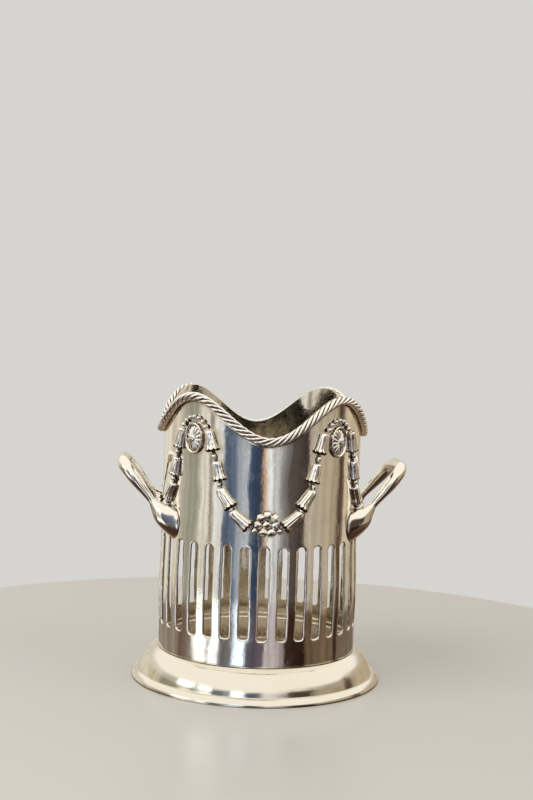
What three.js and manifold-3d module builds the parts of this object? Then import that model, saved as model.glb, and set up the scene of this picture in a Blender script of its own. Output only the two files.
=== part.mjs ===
// A silver-plated champagne bucket stand, in millimetres with +Z up. A pierced sleeve with a waved,
// rope-edged rim is soldered onto a spun foot. A pan inside the foot carries the bottle. Two loop
// handles and four festoons of cast husks, berries and oval rosettes are applied to the sleeve.
// The origin is at the centre of the foot's underside. The front, a dip of the rim, faces -Y, and
// the handles point along +X and -X.
import * as THREE from 'three';
import { mergeVertices } from 'three/addons/utils/BufferGeometryUtils.js';
import Module from 'manifold-3d';

const wasm = await Module();
wasm.setup();

// Sheet and solder
const SOLDER_GAP = 0.3;
const SHEET = 1.2;

// Sleeve and its piercing
const SLEEVE_RADIUS = 54;
const SLEEVE_BASE = 17.1;
const SLEEVE_FACETS = 68; // two to a slot, so that each slot lies on one facet
const SLOT_COUNT = 34;
const SLOT_WIDTH = 4.8;
const SLOT_BOTTOM = 31.2;
const SLOT_TOP = 79.9;
const FIRST_SLOT_DEGREES = -1;

// Rope border, soldered flat against the outside of the waved rim, whose side dips are the shallower
const RIM_WAVES = 4;
const RIM_MIDDLE = 145.7;
const RIM_RISE = 10.4;
const RIM_SIDE_LIFT = 0.8;
const ROPE_RADIUS = 2.45;
const ROPE_RING_RADIUS = 55.2;
const ROPE_STEPS = 80;
const SHEET_EDGE_RISE = 1.8;

// Foot and the pan inside it
const FOOT_RADIUS = 68.3;
const FOOT_SEAT = 2;
const FOOT_FACETS = 48;
const COLLAR_RADIUS = SLEEVE_RADIUS - SHEET - 0.4;
const COLLAR_TOP = 23;
const LEDGE_HEIGHT = SLEEVE_BASE - SOLDER_GAP;
const PAN_RADIUS = COLLAR_RADIUS - 1 - SOLDER_GAP;
const PAN_SHEET = 1;
const PAN_FLOOR = 8;
const PAN_TOP = 21;

// Loop handles: the places of the loop's crown, shoulder, neck, throat and wall, and half sizes
const HANDLE_CROWN = [75.8, 0, 118.3];
const HANDLE_SHOULDER = [74, 14.7, 116];
const HANDLE_NECK = [58.6, 20.6, 97.6];
const HANDLE_THROAT = { degrees: 24.2, radius: 58.4, height: 91.2 };
const HANDLE_WALL = { degrees: 27.9, radius: 54.3, height: 87.4 };
const HANDLE_SUNK = { degrees: 27.9, radius: 52.6, height: 87.4 };
// Distances along the loop from its end inside the wall
const SURFACE_DEPTH = 1.7;
const ROOT_LENGTH = 18.7;
const TURNED_AT = 16.7;
const NARROWING_END = 35.7;
const HANDLE_THICKNESS = { crown: 3.1, leg: 3.45, neck: 2.15, rootAcross: 6, rootUp: 8.6 };

// Cast ornaments. Degrees are measured round the sleeve from the middle of a festoon.
const CASTING_BACK = SLEEVE_RADIUS + SOLDER_GAP;
const ROSETTE_DEGREES = 42.5;
const ROSETTE_HEIGHT = 134.4;
const ROSETTE_HALF_WIDTH = 6;
const ROSETTE_HALF_HEIGHT = 8.4;
const CREST_HALF_WIDTH = 9.3;
const CREST_HALF_HEIGHT = 11.2;
const CREST_BEADS = 7;
const CREST_SPREAD_DEGREES = 110;
const BEAD_RADIUS = 1.15;
const HUSK_LENGTH = 9.8;
const HUSK_MOUTH_RADIUS = 3.2;
const LINK_RADIUS = 1.7;
const HUSKS = [
  { degrees: 30.3, height: 133.8, tilt: 14 },
  { degrees: 26.6, height: 118.4, tilt: 14 },
  { degrees: 22.0, height: 104.6, tilt: 34 },
  { degrees: 14.2, height: 94.1, tilt: 51 },
];
const BERRIES = [
  { degrees: -3.7, height: 95.4, radius: 2.25 },
  { degrees: 0, height: 96.9, radius: 2.25 },
  { degrees: 3.7, height: 95.4, radius: 2.25 },
  { degrees: -5.3, height: 91.7, radius: 2.25 },
  { degrees: -0.5, height: 92.2, radius: 2.25 },
  { degrees: 4.4, height: 91.8, radius: 2.25 },
  { degrees: -7.1, height: 88.8, radius: 1.8 },
  { degrees: -2.5, height: 88.2, radius: 2.3 },
  { degrees: 2.2, height: 88.2, radius: 2.3 },
  { degrees: 6.6, height: 88.9, radius: 1.8 },
];

const radians = THREE.MathUtils.degToRad;
const smoothstep = THREE.MathUtils.smoothstep;

// ---- Solids ----

// Drops everything but position, welds shared corners and leaves out collapsed triangles.
function weld(geometry) {
  const bare = geometry.clone();
  bare.deleteAttribute('normal');
  bare.deleteAttribute('uv');
  const welded = mergeVertices(bare, 1e-4);
  const corners = [];
  for (let i = 0; i < welded.index.count; i += 3) {
    const a = welded.index.getX(i);
    const b = welded.index.getX(i + 1);
    const c = welded.index.getX(i + 2);
    if (a !== b && b !== c && c !== a) corners.push(a, b, c);
  }
  welded.setIndex(corners);
  return welded;
}

function toSolid(geometry) {
  const welded = weld(geometry);
  return new wasm.Manifold(new wasm.Mesh({
    numProp: 3,
    vertProperties: Float32Array.from(welded.attributes.position.array),
    triVerts: Uint32Array.from(welded.index.array),
  }));
}

function toGeometry(solid) {
  const mesh = solid.getMesh();
  const geometry = new THREE.BufferGeometry();
  geometry.setAttribute('position', new THREE.BufferAttribute(mesh.vertProperties, 3));
  geometry.setIndex(new THREE.BufferAttribute(mesh.triVerts, 1));
  geometry.computeVertexNormals();
  return geometry;
}

function joinAll(geometries) {
  return geometries.map(toSolid).reduce((whole, piece) => whole.add(piece));
}

// Turns a closed or axis-to-axis profile of [radius, height] pairs about the Z axis.
function turn(profile, facets) {
  const points = profile.map(([radius, height]) => new THREE.Vector2(radius, height));
  return new THREE.LatheGeometry(points, facets).rotateX(Math.PI / 2);
}

// Sweeps an oval section along a curve and closes both ends. The section faces along the curve
// unless facingAt turns it, and its second axis stays as close to the lift direction as it can.
function sweep(curve, steps, sides, halfSizesAt, lift, facingAt = (t) => curve.getTangentAt(t)) {
  const positions = [];
  const corners = [];
  const centre = new THREE.Vector3();
  for (let step = 0; step <= steps; step += 1) {
    const t = step / steps;
    const facing = facingAt(t);
    const across = new THREE.Vector3().crossVectors(facing, lift).normalize();
    const up = new THREE.Vector3().crossVectors(across, facing);
    const [halfAcross, halfUp] = halfSizesAt(t);
    curve.getPointAt(t, centre);
    for (let side = 0; side < sides; side += 1) {
      const turnAngle = (2 * Math.PI * side) / sides;
      const point = centre.clone();
      point.addScaledVector(across, halfAcross * Math.cos(turnAngle));
      point.addScaledVector(up, halfUp * Math.sin(turnAngle));
      positions.push(point.x, point.y, point.z);
    }
  }
  for (let step = 0; step < steps; step += 1) {
    for (let side = 0; side < sides; side += 1) {
      const next = (side + 1) % sides;
      const a = step * sides + side;
      const b = step * sides + next;
      corners.push(a, a + sides, b, b, a + sides, b + sides);
    }
  }
  const last = steps * sides;
  for (let side = 1; side < sides - 1; side += 1) {
    corners.push(0, side, side + 1);
    corners.push(last, last + side + 1, last + side);
  }
  const geometry = new THREE.BufferGeometry();
  geometry.setAttribute('position', new THREE.Float32BufferAttribute(positions, 3));
  geometry.setIndex(corners);
  geometry.computeVertexNormals();
  return geometry;
}

// ---- Sleeve, rope and foot ----

function ropeHeight(angle) {
  return RIM_MIDDLE - RIM_RISE * Math.cos(RIM_WAVES * angle) - RIM_SIDE_LIFT * Math.cos(2 * angle);
}

// The sheet stands behind the rope and stops just under its top, measured square to the wave.
function sleeveEdgeHeight(angle) {
  const climb = RIM_WAVES * RIM_RISE * Math.sin(RIM_WAVES * angle)
    + 2 * RIM_SIDE_LIFT * Math.sin(2 * angle);
  return ropeHeight(angle) + SHEET_EDGE_RISE * Math.hypot(1, climb / ROPE_RING_RADIUS);
}

class RimCurve extends THREE.Curve {
  getPoint(t, target = new THREE.Vector3()) {
    const angle = 2 * Math.PI * t;
    return target.set(
      ROPE_RING_RADIUS * Math.sin(angle),
      -ROPE_RING_RADIUS * Math.cos(angle),
      ropeHeight(angle),
    );
  }
}

function ropeGeometry() {
  return seatOnSleeve(toSolid(new THREE.TubeGeometry(new RimCurve(), ROPE_STEPS, ROPE_RADIUS, 8, true)));
}

function slotGeometry(index) {
  const half = SLOT_WIDTH / 2;
  const outline = new THREE.Shape();
  outline.absarc(0, SLOT_TOP - half, half, 0, Math.PI);
  outline.absarc(0, SLOT_BOTTOM + half, half, Math.PI, 2 * Math.PI);
  const depth = 6;
  const cutter = new THREE.ExtrudeGeometry(outline, { depth, bevelEnabled: false, curveSegments: 3 });
  const degrees = FIRST_SLOT_DEGREES + (360 / SLOT_COUNT) * index;
  cutter.rotateX(Math.PI / 2);
  cutter.translate(0, -SLEEVE_RADIUS + depth - SHEET, 0);
  return cutter.rotateZ(radians(degrees));
}

function sleeveGeometry() {
  const inside = SLEEVE_RADIUS - SHEET;
  const wall = turn([
    [inside, SLEEVE_BASE],
    [SLEEVE_RADIUS, SLEEVE_BASE],
    [SLEEVE_RADIUS, RIM_MIDDLE],
    [inside, RIM_MIDDLE],
    [inside, SLEEVE_BASE],
  ], SLEEVE_FACETS);
  wall.rotateZ(radians(FIRST_SLOT_DEGREES + 180 / SLEEVE_FACETS));
  const places = wall.attributes.position;
  for (let i = 0; i < places.count; i += 1) {
    if (places.getZ(i) > SLOT_TOP) {
      places.setZ(i, sleeveEdgeHeight(Math.atan2(places.getX(i), -places.getY(i))));
    }
  }
  const slots = Array.from({ length: SLOT_COUNT }, (_, index) => slotGeometry(index));
  return toGeometry(toSolid(wall).subtract(joinAll(slots)));
}

// Spun sheet: an upright collar inside the sleeve, a ledge under it, a round dome that steepens to a
// crease, and a narrow rounded rim that ends in a flat seat.
function footGeometry() {
  const collarInside = COLLAR_RADIUS - 1;
  return weld(turn([
    [collarInside, COLLAR_TOP],
    [collarInside, LEDGE_HEIGHT - SHEET],
    [54.3, LEDGE_HEIGHT - SHEET],
    [56.9, 14.3],
    [59.4, 12.0],
    [61.3, 9.1],
    [62.4, 6.0],
    [63.1, 3.0],
    [64.2, 2.5],
    [65.2, 2.8],
    [FOOT_RADIUS - FOOT_SEAT, 0],
    [FOOT_RADIUS, 0],
    [FOOT_RADIUS, 1.0],
    [67.8, 2.3],
    [66.8, 3.5],
    [65.6, 4.3],
    [64.8, 4.3],
    [64.2, 3.8],
    [63.6, 6.4],
    [62.4, 9.7],
    [60.4, 12.9],
    [57.6, 15.4],
    [54.6, LEDGE_HEIGHT],
    [COLLAR_RADIUS, LEDGE_HEIGHT],
    [COLLAR_RADIUS, COLLAR_TOP],
    [collarInside, COLLAR_TOP],
  ], FOOT_FACETS));
}

function panGeometry() {
  const inside = PAN_RADIUS - PAN_SHEET;
  return weld(turn([
    [0, PAN_FLOOR - PAN_SHEET],
    [inside - 1, PAN_FLOOR - PAN_SHEET],
    [PAN_RADIUS, PAN_FLOOR + 1],
    [PAN_RADIUS, PAN_TOP],
    [inside, PAN_TOP],
    [inside, PAN_FLOOR + 1.5],
    [inside - 1.5, PAN_FLOOR],
    [0, PAN_FLOOR],
  ], FOOT_FACETS));
}

// ---- Applied pieces ----

// Cuts a piece back to the face that lies against the sleeve.
function seatOnSleeve(solid) {
  const height = 200;
  const core = new THREE.CylinderGeometry(CASTING_BACK, CASTING_BACK, height, SLEEVE_FACETS);
  core.rotateX(Math.PI / 2).translate(0, 0, height / 2);
  return toGeometry(solid.subtract(toSolid(core)));
}

// Moves a piece modelled about the origin, facing -Y, to a place on the sleeve.
function place(geometry, degrees, height, tilt = 0, lift = 0.4) {
  return geometry
    .rotateY(radians(tilt))
    .translate(0, -(CASTING_BACK + lift), height)
    .rotateZ(radians(degrees));
}

function handleGeometry() {
  const root = ({ degrees, radius, height }) => new THREE.Vector3(
    radius * Math.cos(radians(degrees)),
    radius * Math.sin(radians(degrees)),
    height,
  );
  const [crown, shoulder, neck] = [HANDLE_CROWN, HANDLE_SHOULDER, HANDLE_NECK].map(
    (place) => new THREE.Vector3(...place),
  );
  const rootPoints = [HANDLE_SUNK, HANDLE_WALL, HANDLE_THROAT].map(root);
  const backHalf = [...rootPoints, neck, shoulder];
  const frontHalf = backHalf.map((point) => new THREE.Vector3(point.x, -point.y, point.z));
  const path = new THREE.CatmullRomCurve3([...backHalf, crown, ...frontHalf.reverse()]);
  const length = path.getLength();
  const toEnd = (t) => length * Math.min(t, 1 - t);

  // The bar swells into an upright oval where it meets the sleeve, and turns to face it there.
  const sizes = HANDLE_THICKNESS;
  const halfSizesAt = (t) => {
    const bar = sizes.crown + (sizes.leg - sizes.crown) * smoothstep(Math.abs(2 * t - 1), 0, 0.25)
      - (sizes.leg - sizes.neck) * (1 - smoothstep(toEnd(t), ROOT_LENGTH, NARROWING_END));
    const near = Math.max(0, 1 - toEnd(t) / ROOT_LENGTH);
    return [
      bar + (sizes.rootAcross - sizes.neck) * near ** 1.3,
      bar + (sizes.rootUp - sizes.neck) * (near * (1.45 - 0.45 * near)) ** 1.12,
    ];
  };
  const facingAt = (t) => {
    const outward = path.getPointAt(t).setZ(0).normalize().multiplyScalar(t < 0.5 ? 1 : -1);
    return outward.lerp(path.getTangentAt(t), smoothstep(toEnd(t), SURFACE_DEPTH, TURNED_AT)).normalize();
  };
  const lift = new THREE.Vector3(0, 0, 1);
  return seatOnSleeve(toSolid(sweep(path, 48, 12, halfSizesAt, lift, facingAt)));
}

// An oval medallion: a round frame, a sunk ring and a low domed flower.
function rosetteGeometry() {
  const medal = turn([
    [0, 0],
    [ROSETTE_HALF_HEIGHT, 0],
    [8.2, 1.2],
    [7.3, 1.6],
    [6.3, 0.8],
    [2.8, 1.6],
    [0, 1.8],
  ], 20);
  medal.rotateX(Math.PI / 2).scale(ROSETTE_HALF_WIDTH / ROSETTE_HALF_HEIGHT, 1, 1);
  const places = medal.attributes.position;
  for (let i = 0; i < places.count; i += 1) {
    const angle = places.getX(i) / CASTING_BACK;
    const radius = CASTING_BACK - places.getY(i);
    places.setXY(i, radius * Math.sin(angle), -radius * Math.cos(angle));
  }
  return weld(medal).translate(0, 0, ROSETTE_HEIGHT);
}

// Beads on a thin strip that arches over a rosette.
function crestGeometry() {
  const arch = (degrees) => [
    THREE.MathUtils.radToDeg((CREST_HALF_WIDTH * Math.sin(radians(degrees))) / SLEEVE_RADIUS),
    ROSETTE_HEIGHT + CREST_HALF_HEIGHT * Math.cos(radians(degrees)),
  ];
  const step = CREST_SPREAD_DEGREES / (CREST_BEADS - 1);
  const beads = [];
  const stripPoints = [];
  for (let i = 0; i < CREST_BEADS; i += 1) {
    const [degrees, height] = arch(step * i - CREST_SPREAD_DEGREES / 2);
    const bead = new THREE.OctahedronGeometry(BEAD_RADIUS, 1);
    beads.push(place(bead, degrees, height, 0, BEAD_RADIUS));
    const angle = radians(degrees);
    const radius = CASTING_BACK + 0.5;
    stripPoints.push(new THREE.Vector3(radius * Math.sin(angle), -radius * Math.cos(angle), height));
  }
  const outward = new THREE.Vector3(0, -1, 0);
  const strip = sweep(new THREE.CatmullRomCurve3(stripPoints), 6, 4, () => [0.45, 0.45], outward);
  return toGeometry(joinAll([...beads, strip]));
}

// A bell-shaped husk, mouth down, about the middle of its length.
function huskGeometry() {
  const mouth = -HUSK_LENGTH / 2;
  const husk = turn([
    [0, mouth],
    [HUSK_MOUTH_RADIUS, mouth],
    [2.4, mouth + 0.5 * HUSK_LENGTH],
    [1.5, mouth + HUSK_LENGTH],
    [0, mouth + HUSK_LENGTH],
  ], 7);
  return husk.scale(1, 0.85, 1);
}

// Half a festoon: four husks on one casting, from beside a rosette down to the berries. The side
// is +1 for the half towards +X when the festoon faces -Y, and the spread widens the festoon.
function garlandGeometry(side, spread) {
  const pieces = [];
  const endOf = ({ degrees, height, tilt }, sign) => ({
    degrees: degrees * spread + sign * THREE.MathUtils.radToDeg(
      (0.5 * HUSK_LENGTH * Math.sin(radians(tilt))) / CASTING_BACK,
    ),
    height: height + sign * 0.5 * HUSK_LENGTH * Math.cos(radians(tilt)),
  });
  HUSKS.forEach((husk, index) => {
    pieces.push(place(huskGeometry(), side * husk.degrees * spread, husk.height, side * husk.tilt));
    if (index === 0) return;
    const above = endOf(HUSKS[index - 1], -1);
    const below = endOf(husk, 1);
    const across = radians(above.degrees - below.degrees) * CASTING_BACK;
    const drop = above.height - below.height;
    const link = new THREE.OctahedronGeometry(1, 0);
    link.scale(LINK_RADIUS, LINK_RADIUS, 0.5 * Math.hypot(across, drop) + 2);
    const tilt = THREE.MathUtils.radToDeg(Math.atan2(across, drop));
    const degrees = (above.degrees + below.degrees) / 2;
    pieces.push(place(link, side * degrees, (above.height + below.height) / 2, side * tilt));
  });
  return seatOnSleeve(joinAll(pieces));
}

// Ten berries that touch their neighbours.
function berriesGeometry() {
  const berries = BERRIES.map(({ degrees, height, radius }) => (
    place(new THREE.OctahedronGeometry(radius, 1), degrees, height, 0, 0.8)
  ));
  return seatOnSleeve(joinAll(berries));
}

// ---- Assembly ----

const group = new THREE.Group();
const PLATE = { color: 0xd8d3c4, roughness: 0.16, metalness: 1 };
const CAST = { color: 0xd2ccba, roughness: 0.24, metalness: 1 };

function addPiece(name, geometry, finish, degrees = 0) {
  const mesh = new THREE.Mesh(geometry, new THREE.MeshStandardMaterial(finish));
  mesh.name = name;
  mesh.rotation.z = radians(degrees);
  group.add(mesh);
}

addPiece('sleeve', sleeveGeometry(), PLATE);
addPiece('rope_border', ropeGeometry(), { ...CAST, color: 0xc9bfa6 });
addPiece('foot', footGeometry(), { ...PLATE, color: 0xe2dcc6 });
addPiece('floor_pan', panGeometry(), { ...PLATE, roughness: 0.35 });

const handle = handleGeometry();
addPiece('handle_right', handle, CAST, 0);
addPiece('handle_left', handle, CAST, 180);

// The rosettes are slightly closer together across the front and back than across the sides.
const rosette = rosetteGeometry();
const crest = crestGeometry();
const ROSETTE_PLACES = {
  front_right: ROSETTE_DEGREES,
  back_right: 180 - ROSETTE_DEGREES,
  back_left: 180 + ROSETTE_DEGREES,
  front_left: -ROSETTE_DEGREES,
};
for (const [corner, degrees] of Object.entries(ROSETTE_PLACES)) {
  addPiece(`rosette_${corner}`, rosette, CAST, degrees);
  addPiece(`bead_crest_${corner}`, crest, CAST, degrees);
}

const SIDE_SPREAD = (90 - ROSETTE_DEGREES) / ROSETTE_DEGREES;
const FESTOONS = [
  { face: 'front', degrees: 0, spread: 1, halves: { right: 1, left: -1 } },
  { face: 'right', degrees: 90, spread: SIDE_SPREAD, halves: { back: 1, front: -1 } },
  { face: 'back', degrees: 180, spread: 1, halves: { left: 1, right: -1 } },
  { face: 'left', degrees: 270, spread: SIDE_SPREAD, halves: { front: 1, back: -1 } },
];
const berries = berriesGeometry();
for (const { face, degrees, spread, halves } of FESTOONS) {
  for (const [half, side] of Object.entries(halves)) {
    addPiece(`garland_${face}_${half}`, garlandGeometry(side, spread), CAST, degrees);
  }
  addPiece(`berries_${face}`, berries, CAST, degrees);
}

export default group;
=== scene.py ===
import math

import bmesh
import bpy
import numpy as np
from mathutils import Matrix, Vector


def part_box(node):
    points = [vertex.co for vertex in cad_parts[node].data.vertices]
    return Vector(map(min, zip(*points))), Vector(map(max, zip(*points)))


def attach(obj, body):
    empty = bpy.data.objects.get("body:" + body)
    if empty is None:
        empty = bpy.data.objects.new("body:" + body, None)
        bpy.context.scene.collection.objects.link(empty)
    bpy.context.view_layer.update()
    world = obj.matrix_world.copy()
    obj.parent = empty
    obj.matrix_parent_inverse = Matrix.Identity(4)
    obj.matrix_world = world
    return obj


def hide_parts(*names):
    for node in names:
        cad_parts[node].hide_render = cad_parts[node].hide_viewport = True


# A silver-plated stand for one champagne bottle: a pierced sleeve with a waved rope border, a spun
# foot, a pan, two loop handles and cast festoons. Every piece is a finely modelled mesh that stands
# for the CAD node of the same place. Shapes are worked out in millimetres, with +Z up, the front
# towards -Y and angles measured round the sleeve from the front towards +X, and become metres when
# a mesh is made.

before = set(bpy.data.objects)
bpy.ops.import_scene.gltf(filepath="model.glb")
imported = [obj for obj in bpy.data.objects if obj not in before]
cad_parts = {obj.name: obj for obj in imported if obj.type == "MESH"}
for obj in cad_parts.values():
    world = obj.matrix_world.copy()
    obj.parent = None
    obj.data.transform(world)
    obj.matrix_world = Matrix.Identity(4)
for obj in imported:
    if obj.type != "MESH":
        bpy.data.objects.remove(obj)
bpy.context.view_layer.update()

MM = 0.001
TURN = 2 * math.pi

# Sleeve
SLEEVE_RADIUS = 54.0
SHEET = 1.2
SOLDER_REACH = 0.15
SLEEVE_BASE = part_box("sleeve")[0].z / MM - SOLDER_REACH
SLOT_COUNT = 34
SLOT_PITCH = TURN / SLOT_COUNT
FIRST_SLOT = math.radians(-1)
SLOT_HALF_WIDTH = 2.35
SLOT_LOW = 31.2
SLOT_HIGH = 79.9
PIERCED_LOW = 27.0
PIERCED_HIGH = 84.0
SLOT_END_STEPS = 10
SLOT_SIDE_STEPS = 46
SLOT_SQUARENESS = 0.62
SAW_WANDER = 0.10
SAW_CHATTER = 0.05
# Dents: their usual depth, how much the broad and the fine ones change it, and the deepest
DENT_DEPTH = 0.22
BROAD_DENT = 0.13
FINE_DENT = 0.045
DEEPEST_DENT = 0.6
# How far the bars between the slots bow outward, and the heights between which it grows and fades
BAR_BOW = 0.65
BOW_GROWS = (24, 46)
BOW_FADES = (50, 84)

# Rope border, whose height follows the rim's four waves. The dips over the handles are shallower.
ROPE_RADIUS = 2.45
ROPE_RING_RADIUS = 55.2
ROPE_LOW, ROPE_HIGH = (corner.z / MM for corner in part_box("rope_border"))
RIM_WAVES = 4
RIM_SIDE_LIFT = 0.8
RIM_RISE = (ROPE_HIGH - ROPE_LOW - RIM_SIDE_LIFT) / 2 - ROPE_RADIUS
RIM_MIDDLE = ROPE_HIGH - ROPE_RADIUS - RIM_RISE
SHEET_EDGE_RISE = 1.9
STRANDS = 5
ROPE_TURNS = 19
STRAND_RADIUS = 1.0
LAY_RADIUS = 1.45
STRAND_OPENING = 0.5 * math.pi + 0.42
ROPE_WEAR = 0.010
# The rope's underside is filed: how far its middle leans in, the cosines at its edge, and its depth
FILED_LEAN = 0.3
FILED_EDGE = (0.5, 0.72)
FILED_DEPTH = 0.25

# Foot and pan
FOOT_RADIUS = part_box("foot")[1].x / MM
PAN_RADIUS = 51.1
PAN_FLOOR = 8.0
PAN_TOP = 21.0

# Castings: where they meet the sleeve, and how far they are sunk into it
CASTING_BACK = SLEEVE_RADIUS + 0.3
SUNK_RADIUS = SLEEVE_RADIUS - 0.5
ROSETTE_DEGREES = 42.5
ROSETTE_HEIGHT = 134.4
ROSETTE_HALF_WIDTH = 6.0
ROSETTE_HALF_HEIGHT = 8.4
CREST_HALF_WIDTH = 9.3
CREST_HALF_HEIGHT = 11.2
ROSETTE_PETALS = 14
CREST_BEADS = 7
CREST_BEAD = 1.15
CREST_END_BEAD = 1.32
CREST_SPREAD = math.radians(110)
HUSK_FOLDS = 9
HUSK_FULLNESS = 1.16
HUSK_FLATNESS = 0.84
# Husks of half a festoon, from beside a rosette down: degrees from the festoon's middle, height,
# tilt and length
HUSKS = [
    (30.3, 133.8, 14, 11.4),
    (26.6, 118.4, 14, 10.6),
    (22.0, 104.6, 36, 12.2),
    (14.0, 94.1, 50, 12.8),
]
# The front left corner was soldered a little further round: degrees for the rosette and each husk
LEFT_ROSETTE_SHIFT = -2.2
LEFT_HUSK_SHIFTS = (3.2, 2.0, 1.8, 1.1)
# Berries: degrees from the festoon's middle, height and radius, and how much fuller they are cast
BERRIES = [
    (-3.7, 95.4, 2.2), (0.0, 96.9, 2.2), (3.7, 95.4, 2.2),
    (-5.3, 91.7, 2.1), (-0.5, 92.2, 2.2), (4.4, 91.8, 2.1),
    (-7.1, 88.8, 1.6), (-2.5, 88.2, 2.3), (2.2, 88.2, 2.3), (6.6, 88.9, 1.6),
]
BERRY_FULLNESS = 1.08
CORNERS = {
    "front_right": ROSETTE_DEGREES,
    "back_right": 180 - ROSETTE_DEGREES,
    "back_left": 180 + ROSETTE_DEGREES,
    "front_left": -ROSETTE_DEGREES,
}
# The side festoons are a little wider than the front and back ones. Each has its middle in degrees,
# its width compared with the front one's, and its halves with the side each lies on.
SIDE_SPREAD = (90 - ROSETTE_DEGREES) / ROSETTE_DEGREES
FESTOONS = [
    ("front", 0, 1.0, {"right": 1, "left": -1}),
    ("right", 90, SIDE_SPREAD, {"back": 1, "front": -1}),
    ("back", 180, 1.0, {"left": 1, "right": -1}),
    ("left", 270, SIDE_SPREAD, {"front": 1, "back": -1}),
]

# The handle at +X: crown, shoulder and neck as places, then a root's throat, the middle of its face
# on the sleeve's wall and its sunk end, as degrees from +X, radius and height
HANDLE_CROWN = (75.8, 0.0, 118.3)
HANDLE_SHOULDER = (74.0, 14.7, 116.0)
HANDLE_NECK = (58.6, 20.6, 97.6)
HANDLE_THROAT = (24.2, 58.4, 91.2)
HANDLE_WALL = (27.9, 54.3, 87.4)
HANDLE_SUNK = (27.9, 52.8, 87.4)
# Half the bar's thickness at the crown, and what it gains down the leg and loses at the neck
BAR_HALF = 3.05
LEG_GAIN = 0.4
NECK_LOSS = 1.3
# Lengths from the sunk end: the swollen root, where the bar starts to narrow towards it, and
# between which the section turns from facing the sleeve to facing along the bar
ROOT_LENGTH = 18.5
NARROWING_FROM = 35.5
SECTION_TURNS = (1.5, 16.5)
ROOT_GAIN_ACROSS = 3.75
ROOT_GAIN_UP = 6.35


# ---- Small helpers ----

def smoothstep(value, low, high):
    t = np.clip((value - low) / (high - low), 0, 1)
    return t * t * (3 - 2 * t)


def unit(vectors):
    """The vectors at a length of one."""
    return vectors / np.linalg.norm(vectors, axis=-1, keepdims=True)


def xyz(*coordinates):
    """Points from coordinates that broadcast together."""
    return np.stack(np.broadcast_arrays(*coordinates), axis=-1)


def circle(count):
    """A row of angles all the way round."""
    return TURN * np.arange(count)[None, :] / count


def lengths_along(line):
    """How far each point of a line is from its first, along it."""
    return np.concatenate([[0], np.cumsum(np.linalg.norm(np.diff(line, axis=0), axis=1))])


def ripples(seed, count, shortest, longest):
    """A smooth random function of points in millimetres, mostly between -1 and 1."""
    draw = np.random.default_rng(seed)
    directions = unit(draw.normal(size=(count, 3)))
    lengths = shortest * (longest / shortest) ** draw.random(count)
    phases = draw.random(count) * TURN
    waves = directions.T * (TURN / lengths)

    def at(points):
        return np.sin(points @ waves + phases).sum(axis=-1) / math.sqrt(count)

    return at


def on_cylinder(angle, radius, height):
    """Points from angles round the Z axis, radii and heights, which broadcast together."""
    return xyz(radius * np.sin(angle), -radius * np.cos(angle), height)


def grid_faces(rows, columns, rows_close=False):
    """Quads of a grid of points that is numbered row by row. Its columns close into rings."""
    row = np.arange(rows if rows_close else rows - 1)[:, None]
    column = np.arange(columns)[None, :]
    next_row, next_column = (row + 1) % rows, (column + 1) % columns
    corners = [
        row * columns + column,
        row * columns + next_column,
        next_row * columns + next_column,
        next_row * columns + column,
    ]
    return np.stack(corners, axis=-1).reshape(-1, 4)


def grid_part(points, tarnish_and_shade, rows_close=False):
    """A part, which is points, faces and the tarnish and painted shade at each point, from a grid of
    points.
    """
    rows, columns = points.shape[:2]
    tint = np.broadcast_to(tarnish_and_shade, (rows, columns)).reshape(-1)
    return points.reshape(-1, 3), grid_faces(rows, columns, rows_close), tint


def join_parts(parts):
    points, faces, tints = zip(*parts)
    firsts = np.cumsum([0, *map(len, points[:-1])])
    faces = [part_faces + first for part_faces, first in zip(faces, firsts)]
    return np.concatenate(points), np.concatenate(faces), np.concatenate(tints)


def turned(part, degrees):
    """The part turned about the Z axis."""
    points, faces, tint = part
    c, s = math.cos(math.radians(degrees)), math.sin(math.radians(degrees))
    return points @ np.array([[c, s, 0], [-s, c, 0], [0, 0, 1]]), faces, tint


def add_piece(name, part, cad_node, material, crease=38):
    """Makes the part a welded mesh object that rides on the frame in place of its CAD node."""
    points, faces, tint = part
    mesh = bpy.data.meshes.new(name)
    mesh.from_pydata((points * MM).tolist(), [], faces.tolist())
    # The point attribute holds real tarnish together with painted shade in hollows, joints and undersides.
    attribute = mesh.attributes.new("tarnish_and_shade", "FLOAT", "POINT")
    attribute.data.foreach_set("value", np.clip(tint, 0, 1).astype(np.float32))
    shape = bmesh.new()
    shape.from_mesh(mesh)
    bmesh.ops.remove_doubles(shape, verts=shape.verts, dist=1e-6)
    bmesh.ops.recalc_face_normals(shape, faces=shape.faces)
    shape.to_mesh(mesh)
    shape.free()
    mesh.polygons.foreach_set("use_smooth", [True] * len(mesh.polygons))
    mesh.set_sharp_from_angle(angle=math.radians(crease))
    mesh.materials.append(material)
    piece = put_in_scene(name, mesh)
    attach(piece, "root")
    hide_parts(cad_node)


def put_in_scene(name, data):
    """A new object with this mesh, light or camera."""
    made = bpy.data.objects.new(name, data)
    bpy.context.scene.collection.objects.link(made)
    return made


# ---- Silver ----

def node(tree, kind, inputs=None, **settings):
    """Adds a shader node. An input that is a socket is linked, and any other is set."""
    made = tree.nodes.new(kind)
    for key, value in settings.items():
        setattr(made, key, value)
    for key, value in (inputs or {}).items():
        if isinstance(value, bpy.types.NodeSocket):
            tree.links.new(value, made.inputs[key])
        else:
            made.inputs[key].default_value = value
    return made


def new_material(name):
    """A material, its node tree and its shader."""
    material = bpy.data.materials.new(name)
    material.use_nodes = True
    return material, material.node_tree, material.node_tree.nodes["Principled BSDF"]


def calc(tree, operation, *values, clamp=False):
    inputs = dict(enumerate(values))
    return node(tree, "ShaderNodeMath", inputs, operation=operation, use_clamp=clamp).outputs[0]


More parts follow.
